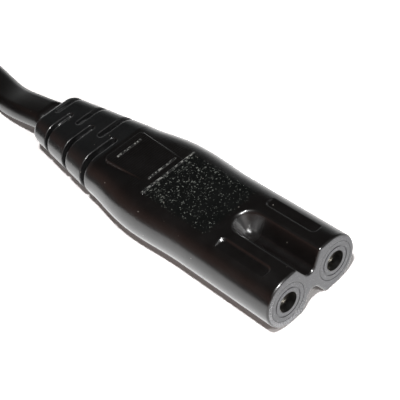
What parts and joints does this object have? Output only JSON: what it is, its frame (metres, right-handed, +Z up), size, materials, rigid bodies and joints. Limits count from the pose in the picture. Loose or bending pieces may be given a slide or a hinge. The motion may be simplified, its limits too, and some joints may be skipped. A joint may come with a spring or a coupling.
{
  "type": "power cord",
  "caption": "Two-pole mains lead: figure-of-eight appliance connector with slotted cord guard, flat black cord coiled and tied, and slim flat plug with round pins.",
  "frame": {"origin": "on the surface that the lead lies on, under the centre of the appliance connector", "axes": "+X along the connector towards its engagement face, +Y across it along the line of the poles, +Z up"},
  "size_m": [0.1393, 0.0897, 0.0137],
  "materials": {
    "moulding": "soft black PVC moulding, satin with fine grain",
    "carrier": "hard black plastic, satin",
    "contact_metal": "tin-plated brass, satin",
    "copper": "bare stranded copper",
    "core_blue": "blue PVC insulation",
    "core_brown": "brown PVC insulation",
    "cord_sheath": "soft black PVC sheath, satin",
    "strap": "black plastic strap, matt",
    "bridge": "hard black plastic, satin",
    "pin_metal": "nickel-plated brass, bright",
    "pin_insulation": "black plastic sleeve, semi-gloss"
  },
  "bodies": {
    "root": {"connector_shell": "moulding", "contact_carrier": "carrier", "contact_left": "contact_metal", "connector_copper_left": "copper", "contact_right": "contact_metal", "connector_copper_right": "copper", "connector_core_left": "core_blue", "connector_core_right": "core_brown", "connector_sheath": "cord_sheath", "cord_lead": "cord_sheath", "cord_coil": "cord_sheath", "cord_tail": "cord_sheath", "plug_sheath": "cord_sheath", "coil_strap": "strap", "plug_shell": "moulding", "pin_bridge": "bridge", "pin_left": "pin_metal", "pin_sleeve_left": "pin_insulation", "plug_copper_left": "copper", "pin_right": "pin_metal", "pin_sleeve_right": "pin_insulation", "plug_copper_right": "copper", "plug_core_left": "core_blue", "plug_core_right": "core_brown"}
  },
  "joints": []
}
